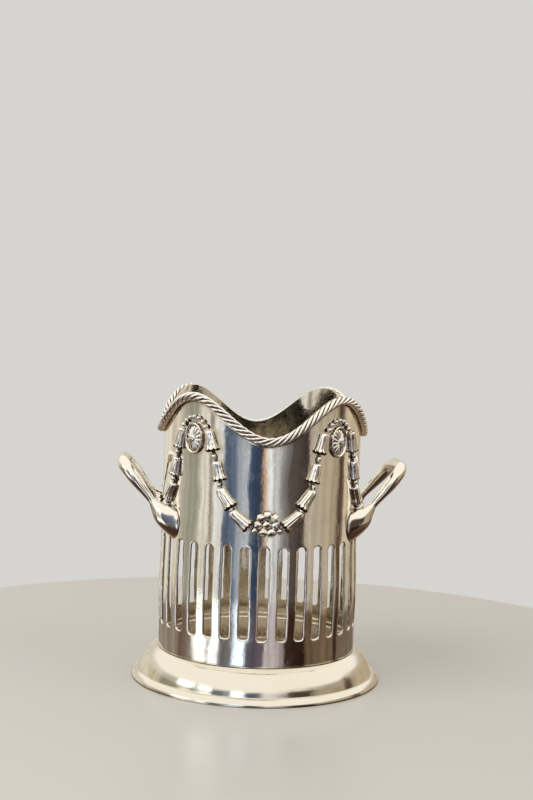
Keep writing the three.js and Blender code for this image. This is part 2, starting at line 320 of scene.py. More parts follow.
def ramp(tree, factor, stops, interpolation="LINEAR"):
    """A colour ramp. Each stop is a place from 0 to 1 and a grey value or a colour."""
    made = node(tree, "ShaderNodeValToRGB", {"Fac": factor})
    made.color_ramp.interpolation = interpolation
    elements = made.color_ramp.elements
    while len(elements) < len(stops):
        elements.new(0.5)
    for element, (place, colour) in zip(elements, sorted(stops, key=lambda stop: stop[0])):
        element.position = place
        element.color = (*colour, 1) if isinstance(colour, tuple) else (colour, colour, colour, 1)
    return made.outputs["Color"]


def noise(tree, where, scale, detail=3.0, roughness=0.55, stretch=None, turn=(0, 0, 0)):
    """Noise over the object in millimetres, about 1/scale from one lump to the next."""
    if stretch is not None:
        mapping = node(tree, "ShaderNodeMapping", {"Vector": where, "Rotation": turn, "Scale": stretch})
        where = mapping.outputs["Vector"]
    inputs = {"Vector": where, "Scale": scale, "Detail": detail, "Roughness": roughness}
    return node(tree, "ShaderNodeTexNoise", inputs).outputs["Fac"]


def scratches(tree, where, turn, spacing, fineness):
    """Thin broken lines, 1 on a line and 0 off it, that run across the given turn."""
    lines = noise(tree, where, spacing, 2.0, 0.5, stretch=(1.0, 1.0, 0.03), turn=turn)
    line = calc(tree, "ABSOLUTE", calc(tree, "SUBTRACT", lines, 0.5))
    thin = ramp(tree, line, [(0.0, 1.0), (fineness, 0.0)])
    broken = ramp(tree, noise(tree, where, 0.11, 2.0), [(0.5, 0.0), (0.62, 1.0)])
    return calc(tree, "MULTIPLY", thin, broken)


# How silver darkens as it tarnishes, and as painted shade deepens: from yellow through brown to nearly
# black.
TARNISH_AND_SHADE_RAMP = [
    (0.22, (0.80, 0.72, 0.58)),
    (0.45, (0.30, 0.22, 0.15)),
    (0.7, (0.09, 0.065, 0.045)),
    (1.0, (0.035, 0.022, 0.016)),
]


def silver(name, tint, roughness, lumps, wiping=1.0):
    """Polished, handled silver plate. The point attribute says where tarnish gathers and where shade is
    painted in, wiping how deep the fine scratches are, and lumps how uneven the surface is under the
    polish."""
    material, tree, shader = new_material(name)
    shader.inputs["Metallic"].default_value = 1.0
    coordinates = node(tree, "ShaderNodeTexCoord").outputs["Object"]
    in_mm = node(tree, "ShaderNodeVectorMath", {0: coordinates, 3: 1 / MM}, operation="SCALE")
    where = in_mm.outputs["Vector"]

    tarnish_and_shade = node(tree, "ShaderNodeAttribute", attribute_name="tarnish_and_shade").outputs["Fac"]
    clouds = noise(tree, where, 0.045, 4.0, 0.6)
    mottle = noise(tree, where, 0.55, 3.0, 0.6)
    spots = node(tree, "ShaderNodeTexVoronoi", {"Vector": where, "Scale": 0.16, "Randomness": 1.0})
    rare = ramp(tree, spots.outputs["Color"], [(0.72, 0.0), (0.8, 1.0)])
    specks = calc(tree, "MULTIPLY", ramp(tree, spots.outputs["Distance"], [(0.03, 1.0), (0.09, 0.0)]), rare)

    # How dark: tarnish and painted shade from the attribute, broken up by mottling, with thin clouds and a
    # few specks anywhere.
    mottled_tarnish_and_shade = calc(tree, "MULTIPLY", tarnish_and_shade, calc(tree, "MULTIPLY_ADD", mottle, 1.3, 0.35))
    haze = ramp(tree, clouds, [(0.5, 0.0), (0.75, 0.10)])
    stain_and_shade = calc(tree, "ADD", mottled_tarnish_and_shade, haze)
    stain_and_shade = calc(tree, "MULTIPLY_ADD", specks, 0.35, stain_and_shade, clamp=True)
    colour = ramp(tree, stain_and_shade, [(0.0, tint), *TARNISH_AND_SHADE_RAMP])
    tree.links.new(colour, shader.inputs["Base Color"])

    # Handling marks dull the polish in soft patches, water leaves rings, and tarnish and painted shade are
    # matt.
    smear = ramp(tree, noise(tree, where, 0.12, 3.0, 0.6), [(0.42, 0.0), (0.7, 1.0)])
    drops = node(tree, "ShaderNodeTexVoronoi", {"Vector": where, "Scale": 0.09, "Randomness": 1.0})
    ring = ramp(tree, drops.outputs["Distance"], [(0.16, 0.0), (0.2, 1.0), (0.24, 0.0)])
    fine = noise(tree, where, 2.2, 2.0)
    gloss = roughness
    for marks, dulling in ((smear, 0.05), (ring, 0.03), (fine, 0.02)):
        gloss = calc(tree, "MULTIPLY_ADD", marks, dulling, gloss)
    gloss = calc(tree, "MULTIPLY_ADD", stain_and_shade, 0.38, gloss, clamp=True)
    tree.links.new(gloss, shader.inputs["Roughness"])

    # Fine wiping scratches two ways, pin holes in the plate and a slight unevenness.
    wiped = scratches(tree, where, (0.3, 0.15, 0.0), 1.4, 0.012)
    across = scratches(tree, where, (1.35, 0.4, 0.7), 1.1, 0.009)
    relief = calc(tree, "MULTIPLY", calc(tree, "ADD", wiped, across), wiping)
    relief = calc(tree, "MULTIPLY_ADD", specks, 2.5, relief)
    relief = calc(tree, "MULTIPLY_ADD", noise(tree, where, 0.5, 2.0), -lumps, relief)
    surface = {"Height": relief, "Strength": 0.35, "Distance": 0.012 * MM}
    bump = node(tree, "ShaderNodeBump", surface, invert=True)
    tree.links.new(bump.outputs["Normal"], shader.inputs["Normal"])
    return material


PLATE = silver("silver_plate", (0.96, 0.94, 0.89), roughness=0.03, lumps=6.0)
FOOT_PLATE = silver("foot_plate", (0.80, 0.77, 0.68), roughness=0.07, lumps=8.0)
PAN_PLATE = silver("pan_plate", (0.92, 0.90, 0.86), roughness=0.22, lumps=8.0)
CAST = silver("cast_silver", (0.98, 0.97, 0.94), roughness=0.08, lumps=8.0, wiping=0.3)
BAR = silver("bar_silver", (0.90, 0.87, 0.79), roughness=0.045, lumps=5.0)
ROPE = silver("rope_silver", (0.98, 0.96, 0.92), roughness=0.15, lumps=2.0, wiping=0.15)


# ---- Sleeve ----

def rope_height(angle):
    return RIM_MIDDLE - RIM_RISE * np.cos(RIM_WAVES * angle) - RIM_SIDE_LIFT * np.cos(2 * angle)


def rope_climb(angle):
    return RIM_WAVES * RIM_RISE * np.sin(RIM_WAVES * angle) + 2 * RIM_SIDE_LIFT * np.sin(2 * angle)


def rim_stretch(angle):
    """How much longer the waved rim is than the circle under it, at an angle."""
    return np.hypot(1, rope_climb(angle) / ROPE_RING_RADIUS)


# Years of use have left shallow dents: broad ones, and finer ripples that follow the rolled sheet.
broad_dents = ripples(11, count=9, shortest=38, longest=90)
fine_dents = ripples(12, count=14, shortest=11, longest=26)


def dented(angle, radius, height):
    """Points of the sheet, pushed in by its dents. Both faces of the sheet move together. The bars
    between the slots have sprung out a little."""
    flat = on_cylinder(angle, SLEEVE_RADIUS, height)
    depth = DENT_DEPTH + BROAD_DENT * broad_dents(flat) + FINE_DENT * fine_dents(flat)
    bow = BAR_BOW * smoothstep(height, *BOW_GROWS) * (1 - smoothstep(height, *BOW_FADES))
    return on_cylinder(angle, radius - np.clip(depth, 0, DEEPEST_DENT) + bow, height)


def casting_outlines():
    """Every casting as an angle, height, radius and flattening, for the tarnish and painted shade that ring
    it.
    """
    oval = ROSETTE_HALF_WIDTH / ROSETTE_HALF_HEIGHT
    spots = [(math.radians(d), ROSETTE_HEIGHT, ROSETTE_HALF_HEIGHT, oval) for d in CORNERS.values()]
    for _, middle, spread, halves in FESTOONS:
        for side in halves.values():
            for degrees, height, tilt, length in HUSKS:
                for step in (-0.35, 0.0, 0.35):
                    along = step * length
                    shift = along * math.sin(math.radians(tilt)) / CASTING_BACK
                    angle = math.radians(middle + side * degrees * spread) + side * shift
                    level = height + along * math.cos(math.radians(tilt))
                    spots.append((angle, level, 2.5 - step, 1.0))
        spots += [(math.radians(middle + d), h, r, 1.0) for d, h, r in BERRIES]
    return spots


def sleeve_tarnish_and_shade(angle, radius, height):
    """Tarnish and painted shade in the corners: a painted shadow under the rope, painted shade round the
    castings, in the slots and at the foot.
    """
    below_rope = (rope_height(angle) - height) / rim_stretch(angle) - ROPE_RADIUS
    # A painted shadow with tarnish in a strip just under the rope.
    tint = 0.5 * np.exp(-np.clip(below_rope, 0, None) / 0.6)
    # Painted shade with tarnish where the sheet meets the foot.
    tint += 0.35 * np.exp(-(height - SLEEVE_BASE) / 0.35)
    ring = np.zeros_like(tint)
    for spot_angle, spot_height, size, flat in casting_outlines():
        turn = (angle - spot_angle + math.pi) % TURN - math.pi
        distance = np.hypot(turn * SLEEVE_RADIUS / flat, height - spot_height) - size
        ring = np.maximum(ring, np.exp(-np.clip(distance, 0, None) / 0.55))
    # A ring of painted contact shadow with tarnish round each casting.
    tint += 0.22 * ring
    # The inside face is barely tinted; the slot walls get tarnish and painted shade.
    inside = radius < SLEEVE_RADIUS - 0.9 * SHEET
    cut = (radius < SLEEVE_RADIUS - 0.3) & ~inside
    return np.where(inside, 0.05, np.where(cut, 0.34, tint))


def sheet_part(angle, radius, height):
    angle, radius, height = np.broadcast_arrays(angle, radius, height)
    points = dented(angle, radius, height)
    return grid_part(points, sleeve_tarnish_and_shade(angle, radius, height))


def closed_loop(*sides):
    """Sides that share their corners, as one loop of points."""
    return np.concatenate([side[:-1] for side in sides])


saw_wander = ripples(21, count=8, shortest=9, longest=22)
saw_chatter = ripples(22, count=8, shortest=2.5, longest=5)


def slot_outline(wobble, width, low, high):
    """The hand-sawn edge of one slot about its middle line: a round top and a squarer bottom."""
    ends = np.linspace(0, math.pi, SLOT_END_STEPS + 1)
    sides = np.linspace(0, 1, SLOT_SIDE_STEPS + 1)
    low_middle, high_middle = low + width, high - width
    top = np.stack([width * np.cos(ends), high_middle + width * np.sin(ends)], axis=1)
    left = np.stack([np.full_like(sides, -width), high_middle + (low_middle - high_middle) * sides], axis=1)
    under_x = -width * np.sign(np.cos(ends)) * np.abs(np.cos(ends)) ** SLOT_SQUARENESS
    bottom = np.stack([under_x, low_middle - width * np.sin(ends) ** SLOT_SQUARENESS], axis=1)
    right = np.stack([np.full_like(sides, width), left[::-1, 1]], axis=1)
    outline = closed_loop(top, left, bottom, right)
    ahead, behind = np.roll(outline, -1, axis=0), np.roll(outline, 1, axis=0)
    along = ahead - behind
    outward = unit(np.stack([along[:, 1], -along[:, 0]], axis=1))
    middle = np.array([0, (low + high) / 2])
    outward *= np.sign(np.sum(outward * (outline - middle), axis=1, keepdims=True))
    places = np.concatenate([outline, np.full((len(outline), 1), wobble)], axis=1)
    off_line = SAW_WANDER * saw_wander(places) + SAW_CHATTER * saw_chatter(places)
    outline = outline + outward * off_line[:, None]
    return outline, outward


def slot_frame():
    """The rectangle round a slot, with a point for each point of the slot's outline."""
    half = SLOT_PITCH * SLEEVE_RADIUS / 2
    across = np.linspace(half, -half, SLOT_END_STEPS + 1)
    down = np.linspace(PIERCED_HIGH, PIERCED_LOW, SLOT_SIDE_STEPS + 1)
    top = np.stack([across, np.full_like(across, PIERCED_HIGH)], axis=1)
    left = np.stack([np.full_like(down, -half), down], axis=1)
    bottom = np.stack([across[::-1], np.full_like(across, PIERCED_LOW)], axis=1)
    right = np.stack([np.full_like(down, half), down[::-1]], axis=1)
    return closed_loop(top, left, bottom, right)


def slot_part(index, draw):
    """One slot with the sheet round it, both faces and the sawn edge. Each slot differs slightly."""
    width = SLOT_HALF_WIDTH + draw.uniform(-0.09, 0.09)
    low, high = SLOT_LOW + draw.uniform(-0.3, 0.3), SLOT_HIGH + draw.uniform(-0.35, 0.25)
    lean = draw.uniform(-0.12, 0.12)
    outline, outward = slot_outline(40.0 * index, width, low, high)
    outline[:, 0] += lean * (outline[:, 1] - (low + high) / 2) / (high - low)
    rectangle = slot_frame()
    inside = SLEEVE_RADIUS - SHEET
    outer_edge, inner_edge = outline + 0.8 * outward, outline + 0.5 * outward
    rows = [(outer_edge * (1 - t) + rectangle * t, SLEEVE_RADIUS) for t in (1.0, 0.6, 0.25, 0.0)]
    # The sawn edge is softened outside by a broad worn bevel and inside by a narrow one.
    bevel = [
        (0.55, 0.02), (0.36, 0.10), (0.18, 0.26), (0.05, 0.48), (0.0, 0.75), (0.0, 1.05), (0.12, 1.2),
    ]
    rows += [(outline + reach * outward, SLEEVE_RADIUS - depth) for reach, depth in bevel]
    rows += [(inner_edge * (1 - t) + rectangle * t, inside) for t in (0.0, 0.5, 1.0)]
    flat = np.stack([row for row, _ in rows])
    radius = np.array([radius for _, radius in rows])[:, None]
    angle = FIRST_SLOT + index * SLOT_PITCH + flat[..., 0] / SLEEVE_RADIUS
    return sheet_part(angle, radius, flat[..., 1])


def sleeve_part():
    """The pierced belt of 34 slots, with the plain sheet above and below it."""
    draw = np.random.default_rng(31)
    parts = [slot_part(index, draw) for index in range(SLOT_COUNT)]
    columns = SLOT_COUNT * SLOT_END_STEPS
    angle = (FIRST_SLOT - SLOT_PITCH / 2 + TURN * np.arange(columns) / columns)[None, :]
    inside = SLEEVE_RADIUS - SHEET

    # Above the slots, up to an edge just behind the rope's top, with a fillet of solder under the rope.
    stretch = rim_stretch(angle)
    edge = rope_height(angle) + SHEET_EDGE_RISE * stretch
    near_edge = np.array([5.6, 5.2, 4.8, 4.4, 4.0, 3.0, 1.6, 0.7, 0.3, 0.0])[:, None]
    start = edge - near_edge[0] * stretch
    rise = np.linspace(0, 1, 50)[:-1, None]
    plain = PIERCED_HIGH + (start - PIERCED_HIGH) * rise
    outer = np.concatenate([plain, edge - near_edge * stretch])
    to_edge = (edge - outer) / stretch
    fillet = 0.15 * (1 - smoothstep(to_edge, 3.9, 5.0)) * smoothstep(to_edge, 2.0, 3.9)
    rounding = 0.25 * (1 - smoothstep(to_edge, 0.0, 0.3))
    height = np.concatenate([outer, outer[::-1]])
    radius = np.concatenate([SLEEVE_RADIUS + fillet - rounding, (inside + rounding)[::-1]])
    parts.append(sheet_part(angle, radius, height))

    # Below the slots, down to the solder line on the foot.
    drop = np.array([0, 0.12, 0.24, 0.36, 0.48, 0.6, 0.7, 0.8, 0.88, 0.94, 0.97, 1.0])[:, None]
    outer = PIERCED_LOW + (SLEEVE_BASE - PIERCED_LOW) * drop + 0 * angle
    fillet = 0.12 * (1 - smoothstep(outer - SLEEVE_BASE, 0.0, 0.4))
    height = np.concatenate([outer, outer[::-1]])
    radius = np.concatenate([SLEEVE_RADIUS + fillet, np.full_like(outer, inside)])
    parts.append(sheet_part(angle, radius, height))
    return join_parts(parts)


# ---- Rope, foot and pan ----

def rope_part(rings=684, columns_per_strand=11):
    """Five strands laid into a rope that follows the rim and closes on itself."""
    fine = np.linspace(0, TURN, 6001)
    line = on_cylinder(fine, ROPE_RING_RADIUS, rope_height(fine))
    length = lengths_along(line)
    share = np.arange(rings) / rings
    angle = np.interp(share * length[-1], length, fine)
    centre = on_cylinder(angle, ROPE_RING_RADIUS, rope_height(angle))
    outward = on_cylinder(angle, 1.0, 0.0)
    climb = rope_climb(angle)
    along = unit(xyz(ROPE_RING_RADIUS * np.cos(angle), ROPE_RING_RADIUS * np.sin(angle), climb))
    up = np.cross(outward, along)

    across = np.linspace(-1, 1, columns_per_strand + 1)[:-1] * STRAND_OPENING
    x = LAY_RADIUS + STRAND_RADIUS * np.cos(across)
    y = STRAND_RADIUS * np.sin(across)
    section_angle = np.arctan2(y, x)
    section_angle = section_angle / abs(section_angle[0]) * math.pi / STRANDS
    section_radius = np.hypot(x, y)
    section_radius[0] = section_radius.min()
    turn = np.concatenate([section_angle + TURN * strand / STRANDS for strand in range(STRANDS)])
    reach = np.tile(section_radius, STRANDS)
    turn = turn[None, :] + TURN * ROPE_TURNS * share[:, None]
    wear = ripples(41, count=10, shortest=5, longest=30)
    reach = reach[None, :] * (1 + ROPE_WEAR * wear(centre))[:, None]
    reach = np.minimum(reach, ROPE_RADIUS)

    # The underside is filed smooth, and the back is flat against the sheet.
    under = smoothstep(np.cos(turn + 0.5 * math.pi + FILED_LEAN), *FILED_EDGE)
    groove = (1 - smoothstep(reach, section_radius.min(), ROPE_RADIUS - 0.12)) * (1 - under)
    reach = reach * (1 - under) + (ROPE_RADIUS - FILED_DEPTH) * under
    points = (centre[:, None, :] + reach[..., None] * (
        np.cos(turn)[..., None] * outward[:, None, :] + np.sin(turn)[..., None] * up[:, None, :]))
    # Tarnish and painted shade darken the grooves between strands, and painted shade darkens the filed
    # underside.
    tint = 0.95 * groove ** 1.4 + 0.2 * under
    return grid_part(seated(points, SLEEVE_RADIUS - 0.2), tint, rows_close=True)


def rounded(profile, steps=5):
    """A closed profile with its corners rounded off. Each is a radius, a height and how far along
    its sides the rounding reaches."""
    table = np.array(profile, float)
    corners = table[:, :2]
    path = []
    for index, (corner, reach) in enumerate(zip(corners, table[:, 2])):
        before, after = corners[index - 1], corners[(index + 1) % len(corners)]
        lengths = np.linalg.norm(before - corner), np.linalg.norm(after - corner)
        cut = min(reach, 0.48 * min(lengths))
        start = corner + (before - corner) * cut / lengths[0]
        end = corner + (after - corner) * cut / lengths[1]
        t = np.linspace(0, 1, steps + 1)[:, None] if cut > 0 else np.array([[0.0]])
        path.append((1 - t) ** 2 * start + 2 * t * (1 - t) * corner + t * t * end)
    return np.concatenate(path)


def spun(profile, segments, tarnish_and_shade_at, dents, depth):
    """Turns a closed profile about the Z axis, with shallow dents."""
    radius, height = profile[:, 0][:, None], profile[:, 1][:, None]
    points = on_cylinder(circle(segments), radius, height)
    push = depth * np.clip(0.5 + dents(points), 0, None)
    points = points * (1 - (push / np.maximum(radius, 5))[..., None] * np.array([1, 1, 0]))
    return grid_part(points, tarnish_and_shade_at(radius, height), rows_close=True)


def foot_part():
    """Spun sheet: a collar hidden in the sleeve, a ledge, a dome that steepens to a crease, and a
    narrow rounded rim."""
    outer, inner, top = 52.4, 51.4, 23.0
    ledge = SLEEVE_BASE - 0.12
    # From the collar's top down its outside and over the dome to the rim, then back up inside.
    profile = [
        (outer, top, 0.2), (outer, ledge, 0.1), (54.8, ledge - 0.15, 1.2), (57.6, 15.5, 1.6),
        (60.5, 13.0, 1.8), (62.5, 9.7, 1.6), (63.7, 6.4, 1.2), (64.25, 4.0, 0.12), (64.7, 4.2, 0.2),
        (65.7, 4.15, 0.6), (66.9, 3.35, 0.7), (67.9, 2.1, 0.6), (FOOT_RADIUS, 1.05, 0.3),
        (FOOT_RADIUS, 0.0, 0.3), (FOOT_RADIUS - 1.9, 0.0, 0.2), (65.2, 2.9, 0.5), (64.2, 2.7, 0.5),
        (63.2, 3.2, 0.5), (62.4, 6.0, 1.5), (61.3, 9.1, 1.5), (59.4, 12.0, 1.5), (56.9, 14.3, 1.5),
        (54.3, 15.6, 1.0), (inner, 15.6, 0.2), (inner, top, 0.2),
    ]
    dents = ripples(51, count=12, shortest=14, longest=60)

    def tarnish_and_shade_at(radius, height):
        # Painted shade with tarnish in the crease and at the joint with the sleeve, and a painted shadow
        # along the bottom of the rim.
        crease = np.exp(-((radius - 64.3) ** 2 + (height - 4.0) ** 2) / 0.12)
        joint = np.exp(-np.abs(radius - 54.1) / 0.25) * (height > 15)
        lip = np.exp(-height / 0.35) * (radius > 67)
        return 0.12 * crease + 0.22 * joint + 0.7 * lip + 0.02

    return spun(rounded(profile, steps=8), 320, tarnish_and_shade_at, dents, depth=0.10)


def pan_part():
    """A pressed pan with a slightly sunk floor, a raised ring and a rolled edge."""
    wall = 1.0
    inside = PAN_RADIUS - wall
    centre = 0.02
    profile = [
        (centre, PAN_FLOOR - wall, 0), (inside - 1, PAN_FLOOR - wall, 1.0),
        (PAN_RADIUS, PAN_FLOOR + 1, 1.2), (PAN_RADIUS, PAN_TOP, 0.45), (inside, PAN_TOP, 0.45),
        (inside, PAN_FLOOR, 2.6), (44.0, PAN_FLOOR, 0.6), (42.6, PAN_FLOOR + 0.6, 0.7),
        (41.0, PAN_FLOOR, 0.6), (20.0, PAN_FLOOR - 0.1, 0.5), (centre, PAN_FLOOR - 0.15, 0),
    ]
    dents = ripples(52, count=10, shortest=12, longest=50)

    def tarnish_and_shade_at(radius, height):
        # Painted shade with tarnish in the floor's outer corner and beside the raised ring.
        corner = np.exp(-np.abs(radius - inside) / 3.0) * (height < PAN_FLOOR + 3)
        ring = np.exp(-np.abs(radius - 44.3) / 0.8)
        return 0.05 + 0.4 * corner + 0.3 * ring

    return spun(rounded(profile), 180, tarnish_and_shade_at, dents, depth=0.06)


# ---- Handles ----

def centripetal_path(knots, samples=80):
    """A centripetal Catmull-Rom curve through the knots, as closely spaced points."""
    knots = np.array(knots, float)
    knots = np.concatenate([[2 * knots[0] - knots[1]], knots, [2 * knots[-1] - knots[-2]]])
    line = []
    for before, start, end, after in zip(knots, knots[1:], knots[2:], knots[3:]):
        gaps = [np.linalg.norm(b - a) ** 0.5 for a, b in ((before, start), (start, end), (end, after))]
        t0, t1 = -gaps[0], 0.0
        t2, t3 = gaps[1], gaps[1] + gaps[2]
        t = np.linspace(t1, t2, samples, endpoint=False)[:, None]

        def between(low, high, first, last):
            return ((high - t) * first + (t - low) * last) / (high - low)

        a, b, c = between(t0, t1, before, start), between(t1, t2, start, end), between(t2, t3, end, after)
        line.append(between(t1, t2, between(t0, t2, a, b), between(t1, t3, b, c)))
    line.append(knots[-2:-1])
    return np.concatenate(line)


def evenly(line, count):
    length = lengths_along(line)
    places = np.linspace(0, length[-1], count)
    return np.stack([np.interp(places, length, line[:, axis]) for axis in range(3)], axis=1)


def handle_part(steps=300, sides=56):
    """A cast loop for the +X side. Its legs narrow to necks, then swell into upright oval roots."""
    roots = [(radius * math.cos(math.radians(d)), radius * math.sin(math.radians(d)), height)
             for d, radius, height in (HANDLE_SUNK, HANDLE_WALL, HANDLE_THROAT)]
    back_half = [*roots, HANDLE_NECK, HANDLE_SHOULDER]
    front_half = [(x, -y, z) for x, y, z in reversed(back_half)]
    centre = evenly(centripetal_path([*back_half, HANDLE_CROWN, *front_half]), steps)
    gone = lengths_along(centre)
    to_end = np.minimum(gone, gone[-1] - gone)

    bar = (BAR_HALF + LEG_GAIN * smoothstep(np.abs(np.linspace(-1, 1, steps)), 0, 0.25)
           - NECK_LOSS * (1 - smoothstep(to_end, ROOT_LENGTH, NARROWING_FROM)))
    near = np.clip(1 - to_end / ROOT_LENGTH, 0, 1)
    half_across = bar + ROOT_GAIN_ACROSS * near ** 1.3
    half_up = bar + ROOT_GAIN_UP * (near * (1.45 - 0.45 * near)) ** 1.12

    # The section faces along the bar, and turns to face the sleeve where it meets it.
    along = unit(np.gradient(centre, axis=0))
    outward = unit(centre * (1, 1, 0))
    outward[steps // 2:] *= -1
    turned_by = smoothstep(to_end, *SECTION_TURNS)[:, None]
    facing = unit(outward * (1 - turned_by) + along * turned_by)
    across = unit(np.cross(facing, (0, 0, 1)))
    up = np.cross(across, facing)

    turn = circle(sides)
    points = (centre[:, None, :]
              + (half_across[:, None] * np.cos(turn))[..., None] * across[:, None, :]
              + (half_up[:, None] * np.sin(turn))[..., None] * up[:, None, :])
    lumps = ripples(61, count=12, shortest=11, longest=34)
    inward = unit(centre[:, None, :] - points)
    points = points + inward * (0.05 * (2.2 - lumps(points)))[..., None]

    radius = np.hypot(points[..., 0], points[..., 1])
    # Painted shade with tarnish where the root meets the sleeve.
    tint = 0.02 + 0.6 * np.exp(-np.clip(radius - SLEEVE_RADIUS, 0, None) / 0.3)
    return grid_part(seated(points), tint)


def seated(points, inner=SUNK_RADIUS):
    """Moves what would come through the sleeve back to a face hidden in its sheet."""
    radius = np.hypot(points[..., 0], points[..., 1])
    grow = np.maximum(radius, inner) / np.maximum(radius, 1e-6)
    return points * np.stack([grow, grow, np.ones_like(grow)], axis=-1)


# ---- Castings ----

def applied(local, degrees, height, tilt=0.0):
    """Bends a casting onto the sleeve. It is modelled with x across, y outward and z up."""
    c, s = math.cos(math.radians(tilt)), math.sin(math.radians(tilt))
    x = local[..., 0] * c + local[..., 2] * s
    z = local[..., 2] * c - local[..., 0] * s
    angle = math.radians(degrees) + x / CASTING_BACK
    return seated(on_cylinder(angle, CASTING_BACK + local[..., 1], height + z))


def ball(radii, centre=(0, 0, 0), rows=14, columns=22):
    """The points of a closed ball with different half sizes, and of a unit ball, poles up and down."""
    up = np.linspace(-0.5, 0.5, rows)[:, None] * math.pi
    turn = circle(columns)
    round_ball = xyz(np.cos(up) * np.cos(turn), np.cos(up) * np.sin(turn), np.sin(up))
    return np.array(centre) + round_ball * np.array(radii), round_ball


def crevice(local, low, high):
    """Tarnish and painted shade that grow towards the sleeve, from none at high to full at low."""
    return 1 - smoothstep(local[..., 1], low, high)


def rosette_part():
    """An oval medallion: a rounded frame, a groove and a domed flower of fourteen petals."""
    # Shares of the way out: over the button, the petals and the frame.
    button_rows, petal_rows, rim_rows = (
        np.linspace(0.01, 0.2, 6), np.linspace(0.22, 0.8, 26), np.linspace(0.815, 1.0, 15))
    flower_rows = len(button_rows) + len(petal_rows)
    out = np.concatenate([button_rows, petal_rows, rim_rows])[:, None]
    turn = circle(12 * ROSETTE_PETALS)
    petal = np.abs(np.cos(ROSETTE_PETALS / 2 * turn)) ** 0.6
    button = 1.9 * np.sqrt(np.clip(1 - (out / 0.2) ** 2, 0, 1)) * 0.32
    inner = smoothstep(out, 0.17, 0.26)
    tip = 0.80 - 0.07 * (1 - petal)
    dome = 1.75 - 0.75 * (out / 0.8) ** 2
    fade = np.sqrt(np.clip(1 - np.clip((out - 0.22) / (tip - 0.22), 0, 1) ** 5, 0, 1))
    flower = 0.35 + (dome - 0.35) * (0.42 + 0.58 * petal * inner + 0.58 * (1 - inner)) * fade + button
    rim = 0.35 + 1.35 * np.sqrt(np.clip(1 - ((out - 0.905) / 0.095) ** 2, 0, 1))
    relief = np.where(out < 0.808, flower, rim)
    relief = np.where(out > 0.99, -0.8, relief)
    local = xyz(ROSETTE_HALF_WIDTH * out * np.sin(turn), relief, ROSETTE_HALF_HEIGHT * out * np.cos(turn))
    skirt = local[-1:] * np.array([1, 0, 1]) + np.array([0, -0.8, 0])
    back = np.concatenate([skirt, skirt * np.array([0.01, 1, 0.01])])
    local = np.concatenate([local, back])
    # Tarnish and painted shade towards the sleeve and between the petals.
    deep = crevice(local, 0.3, 1.15)
    between = 0.75 * (1 - petal) ** 1.3 * smoothstep(out[:flower_rows], 0.2, 0.4)
    deep[:flower_rows] = np.maximum(deep[:flower_rows], between)
    return grid_part(applied(local, 0, ROSETTE_HEIGHT), 0.55 * deep ** 1.5 + 0.01)


def crest_part():
    """Beads in an arch over a rosette, on a thin strip. The two end beads are larger."""
    parts = []
    along = np.linspace(-0.5, 0.5, CREST_BEADS) * CREST_SPREAD
    for index, place in enumerate(along):
        size = CREST_END_BEAD if index in (0, CREST_BEADS - 1) else CREST_BEAD
        local, round_ball = ball((size, size, size), (0, size - 0.35, 0))
        # Tarnish and painted shade towards the sleeve, and painted shade on each bead's underside.
        tint = 0.8 * crevice(local, 0.0, 0.8 * size) + 0.2 * smoothstep(-round_ball[..., 2], 0.5, 1.0)
        degrees = math.degrees(CREST_HALF_WIDTH * math.sin(place) / SLEEVE_RADIUS)
        height = ROSETTE_HEIGHT + CREST_HALF_HEIGHT * math.cos(place)
        parts.append(grid_part(applied(local, degrees, height), tint))
    arch = np.linspace(along[0], along[-1], 40)[:, None]
    turn = circle(10)
    wide = 0.55 * np.sin(np.clip((arch - along[0]) * 40, 0, 1) * math.pi / 2)
    wide = wide * np.sin(np.clip((along[-1] - arch) * 40, 0, 1) * math.pi / 2) + 0.01
    x = (CREST_HALF_WIDTH + wide * np.cos(turn)) * np.sin(arch)
    z = (CREST_HALF_HEIGHT + wide * np.cos(turn)) * np.cos(arch)
    local = xyz(x, 0.1 + wide * np.sin(turn), z)
    # The strip behind the beads is tinted half dark, as tarnish and painted shade.
    parts.append(grid_part(applied(local, 0, ROSETTE_HEIGHT), 0.5))
    return join_parts(parts)


